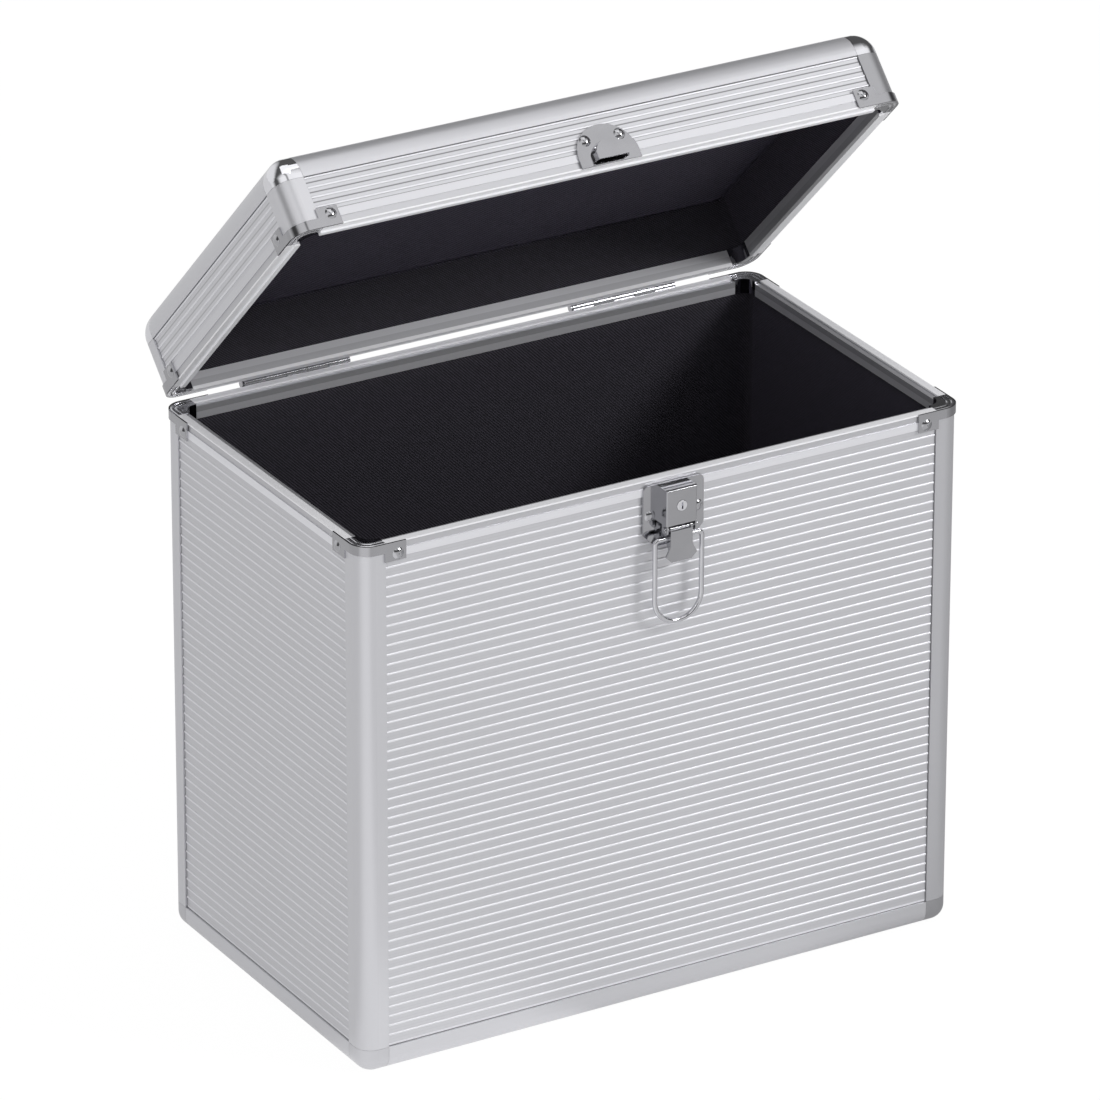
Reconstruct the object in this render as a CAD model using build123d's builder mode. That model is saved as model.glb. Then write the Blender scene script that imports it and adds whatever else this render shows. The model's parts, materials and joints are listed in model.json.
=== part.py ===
"""Aluminium-clad storage case for 12 inch record sleeves, with a hinged lid and a bail latch.

Millimetres, +Z up, +Y towards the back. The origin is the centre of the base on the surface
that the case stands on. The lid is drawn closed and then turned to its open rest angle.
"""

from build123d import *
import math
import os

os.makedirs("parts", exist_ok=True)

# Overall size, over the outer faces of the aluminium profiles
case_width = 342.0
case_depth = 198.0
body_height = 286.0
lid_height = 42.3
open_angle = 45.0

# Wall layers, from outside to inside
profile_t = 1.0
sheet_t = 0.6
board_t = 4.0
lining_t = 0.8
lining_corner = 2.0
inner_flange_t = 0.8

# Ribs pressed into the aluminium sheets
rib_pitch = 5.16
rib_width = 1.4
rib_height = 0.45
rib_root = 0.2
first_rib = 13.5
lid_first_rib = 11.3
rib_end_gap = 0.3

# Corner posts and edge profiles
post_radius = 9.0
post_flange = 14.5
base_radius = 8.0
base_flange = 13.5
crown_radius = 12.0
crown_flange = 14.5
fin_t = 0.8
edge_gap = 0.4
fit_gap = 0.1
board_corner_cut = 4.0
crown_corner_cut = 8.0
cap_t = 1.0

# Rim profiles, which close against each other
rim_height = 8.4
rim_inner_height = 8.0
rim_lip = 0.9
rim_groove_end = 4.3
rim_groove_depth = 0.5
rim_ledge = 4.2
rim_step = 1.2
rim_web = 1.0
lid_gap = 0.3

# Pressed corner fittings on both rims
fitting_t = 0.8
fitting_band = 5.0
fitting_leg_in = 13.6
fitting_leg_out = 25.3
fitting_leg_height = 9.8
fitting_inner_radius = 6.0
tongue_gap = 0.25
tongue_height = 1.0

# Domed rivets
rivet_head_r = 3.0
rivet_head_h = 1.3
rivet_r = 1.5
rivet_hole_gap = 0.05
corner_rivet_in = 20.8
rim_rivet_drop = 6.2

# Butt hinges on the back
hinge_axis_out = 3.1
hinge_barrel_r = 2.6
hinge_pin_r = 1.2
hinge_pin_head_r = 1.9
hinge_pin_head_h = 0.8
hinge_running_gap = 0.05
hinge_leaf_t = 1.0
hinge_leaf_reach = 11.0
hinge_width = 60.0
hinge_spacing = 190.0
hinge_knuckles = 5
hinge_knuckle_gap = 0.2
hinge_notch_gap = 0.4
hinge_rivet_pitch = 20.0

# Latch, drawn about its own centre line, which lies right of the middle
latch_x = 4.0
latch_plate_width = 34.4
latch_plate_top = 3.0
latch_plate_bottom = 36.0
latch_plate_t = 1.0
latch_plate_corner = 3.0
latch_plate_taper = 7.0
latch_rivet_span = 27.0
latch_rivet_drop = 19.0
lock_box_width = 17.3
lock_box_top = 4.0
lock_box_bottom = 23.0
lock_box_out = 9.0
lock_box_wall = 1.0
lock_box_edge = 0.8
ear_bottom = 28.2
ear_inner_out = 4.4
ear_radius = 2.0
lever_pivot_out = 7.0
lever_pivot_drop = 25.5
lever_pin_r = 1.0
lever_pin_head_r = 1.7
lever_pin_head_h = 0.7
lever_top_drop = 26.1
lever_bottom_drop = 42.6
lever_neck_drop = 33.0
lever_neck_width = 12.6
lever_tab_width = 17.6
lever_plate_t = 1.0
lever_flange_t = 1.0
lever_flange_in = 3.9
lever_lip_r = 3.0
lever_heel_up = 3.6
lever_heel_gap = 0.15
lever_heel_t = 0.8
lever_heel_length = 3.0
lever_boss_r = 1.8
bail_pivot_out = 5.8
bail_pivot_drop = 30.7
bail_wire_r = 1.3
bail_width = 26.7
bail_corner_r = 13.0
bail_end_bend = 2.0
bail_hole_gap = 0.08
bail_hook_gap = 0.3
key_plug_r = 2.8
key_plug_drop = 13.1
key_plug_proud = 0.4
key_slot_width = 0.9
key_slot_length = 3.6
key_slot_depth = 1.6
key_plug_gap = 0.08
key_crank_offset = 1.8
key_crank_r = 0.7
bolt_width = 10.0
bolt_t = 1.2
bolt_seat_gap = 0.3
bolt_top_drop = 8.0
bolt_bottom_drop = 21.4
bolt_slot_length = 6.0
bolt_slot_gap = 0.15
bolt_play = 0.2

# Keeper on the lid, which the bail hooks over
keeper_width = 33.6
keeper_height = 21.3
keeper_foot = 0.2
keeper_t = 1.0
keeper_joggle = 9.4
keeper_rivet_span = 19.4
keeper_rivet_up = 14.2
lug_bottom = 2.0
lug_top = 12.6
lug_shoulder = 5.8
lug_width = 21.0
lug_face_top = 12.0
lug_face_width = 16.8
lug_out = 5.0
lug_root = 0.2
lug_wall = 1.0

# Carrying handle on the lid
handle_span = 116.0
handle_reach = 36.0
handle_grip_w = 16.0
handle_grip_t = 12.6
handle_grip_length = 84.0
handle_grip_edge = 5.0
handle_arm_w = 10.0
handle_arm_t = 9.0
handle_arm_edge = 2.5
handle_bend_r = 10.0
handle_pivot_up = 7.0
handle_pin_r = 2.0
handle_pin_head_r = 3.2
handle_pin_head_h = 1.0
handle_pin_gap = 0.08
handle_ear_t = 1.6
handle_ear_gap = 0.4
handle_ear_r = 5.0
bracket_length = 34.0
bracket_width = 22.0
bracket_t = 1.4
bracket_corner = 4.0
bracket_rivet_span = 24.0

# Planes of the wall layers, as distances in from the outer faces
seat_depth = profile_t - rib_height
sheet_in = profile_t
board_in = sheet_in + sheet_t
wall_in = board_in + board_t
lining_in = wall_in + lining_t
rim_in = lining_in + inner_flange_t
slot_depth = rim_step + rim_web
panel_top = slot_depth + fit_gap
lid_base = body_height + lid_gap
lid_top = lid_base + lid_height - lid_gap
rim_end = post_flange + fit_gap
half_width = case_width / 2
half_depth = case_depth / 2
hinge_y = half_depth + hinge_axis_out
hinge_z = body_height + lid_gap / 2
hinge_point = Location((0, hinge_y, hinge_z))
opening = hinge_point * Location((0, 0, 0), (-open_angle, 0, 0)) * hinge_point.inverse()

SIDES = {
    "front": (Vector(0, 1, 0), half_depth, half_width),
    "back": (Vector(0, -1, 0), half_depth, half_width),
    "left": (Vector(1, 0, 0), half_width, half_depth),
    "right": (Vector(-1, 0, 0), half_width, half_depth),
}
CORNERS = {
    "front_left": (-1, -1),
    "front_right": (1, -1),
    "back_right": (1, 1),
    "back_left": (-1, 1),
}
LONG = ("front", "back")
SHORT = ("left", "right")


def seat(radius):
    """Distance from the outer face to a board's edge inside a rounded profile."""
    inner = radius - profile_t
    arc = radius - math.sqrt(inner**2 - (inner - sheet_t) ** 2)
    return max(arc, wall_in) + edge_gap


def wall_plane(side, z, down=False):
    """Cross-section plane of a wall: x runs inwards from the outer face, y runs up or down."""
    inward, distance, _ = SIDES[side]
    up = Vector(0, 0, -1 if down else 1)
    origin = inward * -distance + Vector(0, 0, z)
    return Plane(origin=origin, x_dir=inward, z_dir=inward.cross(up))


def face_plane(side, z, out=0.0):
    """Plane on a wall's outer face, facing outwards, with y up and x along the wall."""
    inward, distance, _ = SIDES[side]
    origin = inward * -(distance + out) + Vector(0, 0, z)
    along = Vector(0, 0, 1).cross(inward * -1)
    return Plane(origin=origin, x_dir=along, z_dir=inward * -1)


def corner_plane(corner, z, down=False):
    """Plane at an outer corner, with both x and y running inwards along the walls."""
    sx, sy = CORNERS[corner]
    along_x, along_y = Vector(-sx, 0, 0), Vector(0, -sy, 0)
    first = along_x if (sx == sy) != down else along_y
    return Plane(
        origin=(sx * half_width, sy * half_depth, z),
        x_dir=first,
        z_dir=(0, 0, -1 if down else 1),
    )


def save(part, name, in_lid=False):
    """Write one node, turned open with the lid where it belongs to the lid."""
    shape = opening * part if in_lid else part
    shape.label = name
    export_step(shape, f"parts/{name}.step")


def group(parts):
    """Separate solids that share one node."""
    with BuildPart() as together:
        for part in parts:
            add(part)
    return together.part


def edge_section(radius, flange):
    """Rounded L section with two fins that the boards butt against, corner at the origin."""
    inner = radius - profile_t
    outer_mid = radius - radius * math.sqrt(0.5)
    inner_mid = radius - inner * math.sqrt(0.5)
    fin = seat(radius) - fit_gap - fin_t / 2
    start = radius - math.sqrt((radius - profile_t / 2) ** 2 - (radius - fin) ** 2)
    middle, length = (start + wall_in) / 2, wall_in - start
    with BuildSketch() as section:
        with BuildLine():
            Line((flange, 0), (radius, 0))
            ThreePointArc((radius, 0), (outer_mid, outer_mid), (0, radius))
            Polyline((0, radius), (0, flange), (profile_t, flange), (profile_t, radius))
            ThreePointArc((profile_t, radius), (inner_mid, inner_mid), (radius, profile_t))
            Polyline((radius, profile_t), (flange, profile_t), (flange, 0))
        make_face()
        with Locations((fin, middle)):
            Rectangle(fin_t, length)
        with Locations((middle, fin)):
            Rectangle(length, fin_t)
    return section.sketch


def edge_profile(side, z, radius, flange, down, end):
    """Edge profile along one wall, at the base or at the crown of the lid."""
    with BuildPart() as profile:
        with BuildSketch(wall_plane(side, z, down)):
            add(edge_section(radius, flange))
        extrude(amount=SIDES[side][2] - end, both=True)
    return profile.part


def corner_post(corner, bottom, top):
    """Upright corner post between two heights."""
    with BuildPart() as post:
        with BuildSketch(corner_plane(corner, bottom)):
            add(edge_section(post_radius, post_flange))
        extrude(amount=top - bottom)
    return post.part


def rounded_corner(plane, size, flange, radius, upright_radius):
    """Solid block at an outer corner; the larger of its two radii is rounded first."""
    inner_corner = plane.from_local_coords((size, size, 0))
    inner_end = plane.from_local_coords((size, size, flange))
    with BuildPart() as block:
        with BuildSketch(plane):
            Rectangle(size, size, align=Align.MIN)
        extrude(amount=flange)
        if radius > upright_radius:
            end_face = block.faces().filter_by(Plane.XY).sort_by_distance(plane.origin)[0]
            fillet(end_face.edges().sort_by_distance(inner_corner, reverse=True)[:2], radius)
            fillet(block.edges().sort_by_distance(inner_end, reverse=True)[:2], upright_radius)
        else:
            upright = block.edges().filter_by(Axis.Z).sort_by_distance(plane.origin)[0]
            fillet(upright, upright_radius)
            end_face = block.faces().filter_by(Plane.XY).sort_by_distance(plane.origin)[0]
            fillet(end_face.edges().sort_by_distance(inner_corner, reverse=True)[:3], radius)
    return block.part


def corner_cap(corner, z, radius, size, flange, down):
    """Pressed three-way cap that closes a corner of the base or of the lid's crown."""
    plane = corner_plane(corner, z, down)
    inner = Plane(
        origin=plane.from_local_coords((cap_t, cap_t, cap_t)), x_dir=plane.x_dir, z_dir=plane.z_dir
    )
    with BuildPart() as cap:
        add(rounded_corner(plane, size, flange, radius, post_radius))
        add(
            rounded_corner(inner, size, flange, radius - cap_t, post_radius - cap_t),
            mode=Mode.SUBTRACT,
        )
    return cap.part


def drill(sites):
    """Rivet holes from outside through everything at the sites, as far as the lining."""
    with Locations(*sites):
        Cylinder(rivet_r + rivet_hole_gap, 2 * wall_in, mode=Mode.SUBTRACT)


def rivet_sites(side, places):
    """Outward-facing locations on a wall's outer plane, from (along, height) pairs."""
    plane = face_plane(side, 0)
    points = [plane.from_local_coords((along, height, 0)) for along, height in places]
    return [Plane(origin=point, z_dir=plane.z_dir).location for point in points]


def rivets(sites, proud):
    """Domed rivets on a surface that stands proud of the outer plane by this much."""
    ball = (rivet_head_r**2 + rivet_head_h**2) / (2 * rivet_head_h)
    turn = math.asin(rivet_head_r / ball) / 2
    crown = proud + rivet_head_h
    with BuildPart() as rivet:
        with BuildSketch(Plane.XZ):
            with BuildLine():
                Line((0, proud), (rivet_head_r, proud))
                ThreePointArc(
                    (rivet_head_r, proud),
                    (ball * math.sin(turn), crown - ball * (1 - math.cos(turn))),
                    (0, crown),
                )
                Line((0, crown), (0, proud))
            make_face()
        revolve(axis=Axis.Z)
        with BuildSketch(Plane.XY.offset(-wall_in)):
            Circle(rivet_r)
        extrude(amount=wall_in + proud)
    return group([site * rivet.part for site in sites])


def rib_bead():
    """Section of one rib, standing out of the sheet, with its root inside the sheet."""
    with BuildSketch() as bead:
        with BuildLine():
            Line((rib_root, -rib_width / 2), (0, -rib_width / 2))
            ThreePointArc((0, -rib_width / 2), (-rib_height, 0), (0, rib_width / 2))
            Polyline((0, rib_width / 2), (rib_root, rib_width / 2), (rib_root, -rib_width / 2))
        make_face()
    return bead.sketch


def ribbed_sheet(plane, low, high, half_run, half_ribs, rib_places, sites):
    """Sheet with parallel ribs: its section in the plane runs inwards and from low to high."""
    with BuildPart() as sheet:
        with BuildSketch(plane):
            with Locations((sheet_in + sheet_t / 2, (low + high) / 2)):
                Rectangle(sheet_t, high - low)
            with Locations(*[(sheet_in, place) for place in rib_places]):
                add(rib_bead())
        extrude(amount=half_ribs, both=True)
        with BuildSketch(plane):
            with Locations((sheet_in + sheet_t / 2, (low + high) / 2)):
                Rectangle(sheet_t, high - low)
        extrude(amount=half_run, both=True)
        if sites:
            drill(sites)
    return sheet.part


def wall_sheet(side, low, high, rib_heights, sites):
    """Aluminium sheet of one wall with its level ribs."""
    half_run = SIDES[side][2] - post_radius - edge_gap
    half_ribs = SIDES[side][2] - post_flange - rib_end_gap
    return ribbed_sheet(wall_plane(side, 0), low, high, half_run, half_ribs, rib_heights, sites)


def wall_board(side, low, high, cut_at_top, corner_cut, sites):
    """Board of one wall, its two corners by the caps cut off."""
    half_run = SIDES[side][2] - seat(post_radius)
    with BuildPart() as board:
        with BuildSketch(face_plane(side, 0, -board_in)):
            with Locations((0, (low + high) / 2)):
                Rectangle(2 * half_run, high - low)
        extrude(amount=-board_t)
        upright = board.edges().filter_by(lambda e: abs(e.length - board_t) < 1e-6)
        corner_edges = upright.group_by(Axis.Z)[-1 if cut_at_top else 0]
        chamfer(corner_edges, corner_cut)
        if sites:
            drill(sites)
    return board.part


def rim_profile(side, z, section, sites):
    """Rim extrusion along one wall, with its rivet holes."""
    half_run = SIDES[side][2]
    with BuildPart() as rim:
        with BuildSketch(wall_plane(side, z)):
            with BuildLine():
                Polyline(*section, close=True)
            make_face()
        extrude(amount=half_run - rim_end, both=True)
        drill(sites)
    return rim.part


def rim_fitting(corner, z, down, sites):
    """Pressed corner fitting: rounded band, flat top, two riveted legs and an inner skirt."""
    plane = corner_plane(corner, z, down)
    out = -fitting_t
    end = post_flange
    round_r = post_radius + fitting_t
    mid = post_radius - round_r * math.sqrt(0.5)
    post_mid = post_radius - post_radius * math.sqrt(0.5)
    bend = rim_in + fitting_inner_radius
    bend_mid = bend - fitting_inner_radius * math.sqrt(0.5)
    skirt_r = fitting_inner_radius + inner_flange_t
    skirt_mid = bend - skirt_r * math.sqrt(0.5)
    with BuildPart() as fitting:
        with BuildSketch(plane):
            with BuildLine():
                Line((end, out), (post_radius, out))
                ThreePointArc((post_radius, out), (mid, mid), (out, post_radius))
                Polyline((out, post_radius), (out, end), (rim_in, end), (rim_in, bend))
                ThreePointArc((rim_in, bend), (bend_mid, bend_mid), (bend, rim_in))
                Polyline((bend, rim_in), (end, rim_in), (end, out))
            make_face()
        extrude(amount=fitting_t)
        with BuildSketch(plane):
            with BuildLine():
                Line((end, out), (post_radius, out))
                ThreePointArc((post_radius, out), (mid, mid), (out, post_radius))
                Polyline((out, post_radius), (out, end), (0, end), (0, post_radius))
                ThreePointArc((0, post_radius), (post_mid, post_mid), (post_radius, 0))
                Polyline((post_radius, 0), (end, 0), (end, out))
            make_face()
        extrude(amount=fitting_band)
        with BuildSketch(plane):
            with BuildLine():
                Line((end, rim_in), (bend, rim_in))
                ThreePointArc((bend, rim_in), (bend_mid, bend_mid), (rim_in, bend))
                Polyline((rim_in, bend), (rim_in, end), (lining_in, end), (lining_in, bend))
                ThreePointArc((lining_in, bend), (skirt_mid, skirt_mid), (bend, lining_in))
                Polyline((bend, lining_in), (end, lining_in), (end, rim_in))
            make_face()
        extrude(amount=rim_inner_height)
        with BuildSketch(plane):
            leg_mid = (fitting_leg_in + fitting_leg_out) / 2
            leg = fitting_leg_out - fitting_leg_in
            with Locations((leg_mid, out / 2)):
                Rectangle(leg, fitting_t)
            with Locations((out / 2, leg_mid)):
                Rectangle(fitting_t, leg)
        extrude(amount=fitting_leg_height)
        drill(sites)
    return fitting.part


def flat_panel(low, high, cut, inset):
    """Level rectangular panel with its corners cut off."""
    with BuildPart() as panel:
        with BuildSketch(Plane.XY.offset(low)):
            Rectangle(case_width - 2 * inset, case_depth - 2 * inset)
            if cut:
                chamfer(vertices(), cut)
        extrude(amount=high - low)
    return panel.part


# Where the rivets go on each wall of the body and of the lid
def rim_places(side, height):
    along = SIDES[side][2] - corner_rivet_in
    return [(-along, height), (along, height)]


body_rivet_z = body_height - rim_rivet_drop
lid_rivet_z = lid_base + rim_rivet_drop
hinge_centres = (-hinge_spacing / 2, hinge_spacing / 2)
hinge_rivet_along = [c + k * hinge_rivet_pitch for c in hinge_centres for k in (-1, 0, 1)]
latch_rivet_places = [
    (latch_x + s * latch_rivet_span / 2, body_height - latch_rivet_drop) for s in (-1, 1)
]
keeper_rivet_places = [
    (latch_x + s * keeper_rivet_span / 2, lid_base + keeper_rivet_up) for s in (-1, 1)
]
body_corner_sites = {side: rivet_sites(side, rim_places(side, body_rivet_z)) for side in SIDES}
lid_corner_sites = {side: rivet_sites(side, rim_places(side, lid_rivet_z)) for side in SIDES}
body_hinge_sites = rivet_sites("back", [(along, body_rivet_z) for along in hinge_rivet_along])
lid_hinge_sites = rivet_sites("back", [(along, lid_rivet_z) for along in hinge_rivet_along])
latch_sites = rivet_sites("front", latch_rivet_places)
keeper_sites = rivet_sites("front", keeper_rivet_places)
body_sites = {side: list(sites) for side, sites in body_corner_sites.items()}
lid_sites = {side: list(sites) for side, sites in lid_corner_sites.items()}
body_sites["front"] += latch_sites
body_sites["back"] += body_hinge_sites
lid_sites["front"] += keeper_sites
lid_sites["back"] += lid_hinge_sites

# Boards of the body
body_panel_top = body_height - panel_top
for side in SIDES:
    board = wall_board(
        side, seat(base_radius), body_panel_top, False, board_corner_cut, body_sites[side]
    )
    save(board, f"{side}_board")
bottom_inset = seat(base_radius)
save(flat_panel(board_in, wall_in, board_corner_cut, bottom_inset), "bottom_board")

# Sheets of the body
rib_count = int((body_height - first_rib - base_flange - rib_pitch / 2) / rib_pitch) + 1
body_ribs = [body_height - first_rib - k * rib_pitch for k in range(rib_count)]
for side in SIDES:
    sheet = wall_sheet(
        side, base_radius + edge_gap, body_panel_top, body_ribs, body_sites[side]
    )
    save(sheet, f"{side}_sheet")

# The plate under the bottom is flush with the base profiles and rebated to slip in behind them
with BuildPart() as bottom_plate:
    add(flat_panel(sheet_in, board_in, post_radius, base_radius + edge_gap))
    add(flat_panel(0, sheet_in, 2 * (post_flange - base_flange), base_flange + edge_gap))
save(bottom_plate.part, "bottom_sheet")

# Profiles, posts and caps of the body
for corner in CORNERS:
    post = corner_post(corner, base_flange + fit_gap, body_height - fitting_t - fit_gap)
    save(post, f"{corner}_post")
for name, walls in (("long", LONG), ("short", SHORT)):
    pair = [
        edge_profile(side, 0, base_radius, base_flange, False, post_flange + fit_gap)
        for side in walls
    ]
    save(group(pair), f"base_profiles_{name}")
base_caps = [
    corner_cap(corner, 0, base_radius, post_flange, base_flange, False) for corner in CORNERS
]
save(group(base_caps), "base_corner_caps")

# Rim of the body: a ledge outside and a step down inside
outer_face = [
    (0, -rim_height),
    (0, -rim_groove_end),
    (rim_groove_depth, -rim_groove_end),
    (rim_groove_depth, -rim_lip),
    (0, -rim_lip),
    (0, 0),
]
channel = [
    (rim_in, -rim_inner_height),
    (lining_in, -rim_inner_height),
    (lining_in, -slot_depth),
    (sheet_in, -slot_depth),
    (sheet_in, -rim_height),
]
body_rim_section = outer_face + [(rim_ledge, 0), (rim_ledge, -rim_step), (rim_in, -rim_step)] + channel
for name, walls in (("long", LONG), ("short", SHORT)):
    pair = [
        rim_profile(side, body_height, body_rim_section, body_sites[side]) for side in walls
    ]
    save(group(pair), f"rim_profiles_{name}")


def corner_rivet_sites(corner, sites):
    """The two rivet sites nearest to a corner."""
    sx, sy = CORNERS[corner]
    target = Vector(sx * half_width, sy * half_depth, 0)
    flat = [s for side in SIDES for s in sites[side]]
    return sorted(flat, key=lambda s: (Vector(s.position.X, s.position.Y, 0) - target).length)[:2]


body_fittings = [
    rim_fitting(corner, body_height, True, corner_rivet_sites(corner, body_corner_sites))
    for corner in CORNERS
]
save(group(body_fittings), "rim_corner_fittings")
all_body_corner = [s for side in SIDES for s in body_corner_sites[side]]
save(rivets(all_body_corner, fitting_t), "rim_corner_rivets")

# Lining of the body
with BuildPart() as wall_lining:
    with BuildSketch(Plane.XY.offset(lining_in)):
        RectangleRounded(case_width - 2 * wall_in, case_depth - 2 * wall_in, lining_corner)
        RectangleRounded(
            case_width - 2 * lining_in, case_depth - 2 * lining_in, lining_corner - lining_t,
            mode=Mode.SUBTRACT,
        )
    extrude(amount=body_height - panel_top - lining_in)
save(wall_lining.part, "wall_lining")
save(flat_panel(wall_in, lining_in, 0, wall_in), "floor_lining")

# Butt hinges: the body leaves carry the odd knuckles and the lid leaves the even ones
knuckle = hinge_width / hinge_knuckles


def hinge_leaf(centre, upward, first, sites):
    """One leaf with its knuckles, drawn closed; upward is the lid's leaf."""
    sign = 1 if upward else -1
    near = hinge_z + sign * (hinge_barrel_r + hinge_notch_gap)
    far = hinge_z + sign * hinge_leaf_reach
    back = half_depth + hinge_leaf_t / 2
    with BuildPart() as leaf:
        with Locations((centre, back, (near + far) / 2)):
            Box(hinge_width, hinge_leaf_t, abs(far - near))
        for index in range(first, hinge_knuckles, 2):
            x = centre + (index + 0.5) * knuckle - hinge_width / 2
            length = knuckle - hinge_knuckle_gap
            with Locations((x, back, (hinge_z + near) / 2)):
                Box(length, hinge_leaf_t, abs(hinge_z - near))
            with Locations((x, hinge_y, hinge_z)):
                Cylinder(hinge_barrel_r, length, rotation=(0, 90, 0))
        with Locations((centre, hinge_y, hinge_z)):
            Cylinder(
                hinge_pin_r + hinge_running_gap, 2 * hinge_width,
                rotation=(0, 90, 0), mode=Mode.SUBTRACT,
            )
        drill(sites)
    return leaf.part


def near_hinge(sites, centre):
    return [s for s in sites if abs(s.position.X - centre) < hinge_width / 2]


save(
    group([hinge_leaf(c, False, 0, near_hinge(body_hinge_sites, c)) for c in hinge_centres]),
    "hinge_body_leaves",
)
save(
    group([hinge_leaf(c, True, 1, near_hinge(lid_hinge_sites, c)) for c in hinge_centres]),
    "hinge_lid_leaves",
    in_lid=True,
)
with BuildPart() as hinge_pins:
    with Locations(*[(c, hinge_y, hinge_z) for c in hinge_centres]):
        Cylinder(hinge_pin_r, hinge_width, rotation=(0, 90, 0))
    ends = [c + s * (hinge_width + hinge_pin_head_h) / 2 for c in hinge_centres for s in (-1, 1)]
    with Locations(*[(x, hinge_y, hinge_z) for x in ends]):
        Cylinder(hinge_pin_head_r, hinge_pin_head_h, rotation=(0, 90, 0))
save(hinge_pins.part, "hinge_pins")
save(rivets(body_hinge_sites, hinge_leaf_t), "hinge_body_rivets")
save(rivets(lid_hinge_sites, hinge_leaf_t), "hinge_lid_rivets", in_lid=True)


# Latch on the front: positions are (across, outwards, height) from the rim of the front wall
def latch_point(across, out, drop):
    return (latch_x + across, -half_depth - out, body_height - drop)


def across_plane(across):
    """Plane square to the latch's pivots: x outwards, y up, at a place across the latch."""
    return Plane(origin=latch_point(across, 0, 0), x_dir=(0, -1, 0), z_dir=(-1, 0, 0))


with BuildPart() as latch_base:
    with BuildSketch(face_plane("front", body_height)):
        with BuildLine():
            wide, narrow = latch_plate_width / 2, latch_plate_width / 2 - latch_plate_taper
            Polyline(
                (latch_x - wide, -latch_plate_top),
                (latch_x + wide, -latch_plate_top),
                (latch_x + wide, -latch_plate_bottom + latch_plate_taper),
                (latch_x + narrow, -latch_plate_bottom),
                (latch_x - narrow, -latch_plate_bottom),
                (latch_x - wide, -latch_plate_bottom + latch_plate_taper),
                close=True,
            )
        make_face()
        fillet(vertices(), latch_plate_corner)
    extrude(amount=latch_plate_t)
    plate_back = latch_base.faces().sort_by(Axis.Y)[-1]
    extrude(plate_back, amount=seat_depth)
    clear_height = rim_height + fit_gap
    with Locations((latch_x, -half_depth + seat_depth, body_height - clear_height)):
        Box(
            2 * latch_plate_width, 2 * seat_depth, 2 * clear_height,
            align=(Align.CENTER, Align.CENTER, Align.MIN), mode=Mode.SUBTRACT,
        )
    drill(latch_sites)
save(latch_base.part, "latch_base")
save(rivets(latch_sites, latch_plate_t), "latch_rivets")

# Lock box: a shell open at the bottom, with an ear on each side for the lever's pin
box_height = lock_box_bottom - lock_box_top
box_depth = lock_box_out - latch_plate_t
with BuildPart() as lock_box:
    with Locations(latch_point(0, latch_plate_t + box_depth / 2, lock_box_top + box_height / 2)):
        Box(lock_box_width, box_depth, box_height)
    front_face = lock_box.faces().sort_by(Axis.Y)[0]
    fillet(front_face.edges().sort_by(Axis.Z)[1:], lock_box_edge)
    hollow = latch_point(0, latch_plate_t, lock_box_bottom)
    with Locations(hollow):
        Box(
            lock_box_width - 2 * lock_box_wall, box_depth - lock_box_wall,
            box_height - lock_box_wall,
            align=(Align.CENTER, Align.MAX, Align.MIN), mode=Mode.SUBTRACT,
        )
    for s in (-1, 1):
        ear_centre = s * (lock_box_width - lock_box_wall) / 2
        with BuildSketch(across_plane(ear_centre)):
            ear_w = lock_box_out - ear_inner_out
            with Locations(((lock_box_out + ear_inner_out) / 2, -(lock_box_bottom + ear_bottom) / 2)):
                Rectangle(ear_w, ear_bottom - lock_box_bottom)
            fillet(vertices().group_by(Axis.Y)[0], ear_radius)
        extrude(amount=lock_box_wall / 2, both=True)
    with Locations(latch_point(0, lever_pivot_out, lever_pivot_drop)):
        Cylinder(
            lever_pin_r + rivet_hole_gap, 2 * lock_box_width,
            rotation=(0, 90, 0), mode=Mode.SUBTRACT,
        )
    with Locations(latch_point(0, lock_box_out, key_plug_drop)):
        Cylinder(
            key_plug_r + key_plug_gap, 3 * lock_box_wall,
            rotation=(90, 0, 0), mode=Mode.SUBTRACT,
        )
save(lock_box.part, "lock_box")

pin_half = lock_box_width / 2
with BuildPart() as lever_pin:
    with Locations(latch_point(0, lever_pivot_out, lever_pivot_drop)):
        Cylinder(lever_pin_r, 2 * pin_half, rotation=(0, 90, 0))
    for s in (-1, 1):
        head = latch_point(s * (pin_half + lever_pin_head_h / 2), lever_pivot_out, lever_pivot_drop)
        with Locations(head):
            Cylinder(lever_pin_head_r, lever_pin_head_h, rotation=(0, 90, 0))
save(lever_pin.part, "lever_pin")

# Key plug with its slot and the crank pin that shifts the bolt, drawn unlocked
bolt_back = latch_plate_t + bolt_seat_gap
plug_back = bolt_back + bolt_t + bolt_play
crank_shift = key_crank_offset * math.sqrt(0.5)
with BuildPart() as key_plug:
    plug_front = lock_box_out + key_plug_proud
    with Locations(latch_point(0, (plug_back + plug_front) / 2, key_plug_drop)):
        Cylinder(key_plug_r, plug_front - plug_back, rotation=(90, 0, 0))
    chamfer(key_plug.edges().sort_by(Axis.Y)[0], key_plug_proud / 2)
    with Locations(latch_point(0, plug_front, key_plug_drop)):
        Box(key_slot_width, 2 * key_slot_depth, key_slot_length, mode=Mode.SUBTRACT)
    with Locations(latch_point(-crank_shift, (plug_back + bolt_back) / 2, key_plug_drop - crank_shift)):
        Cylinder(key_crank_r, plug_back - bolt_back, rotation=(90, 0, 0))
save(key_plug.part, "key_plug")

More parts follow.
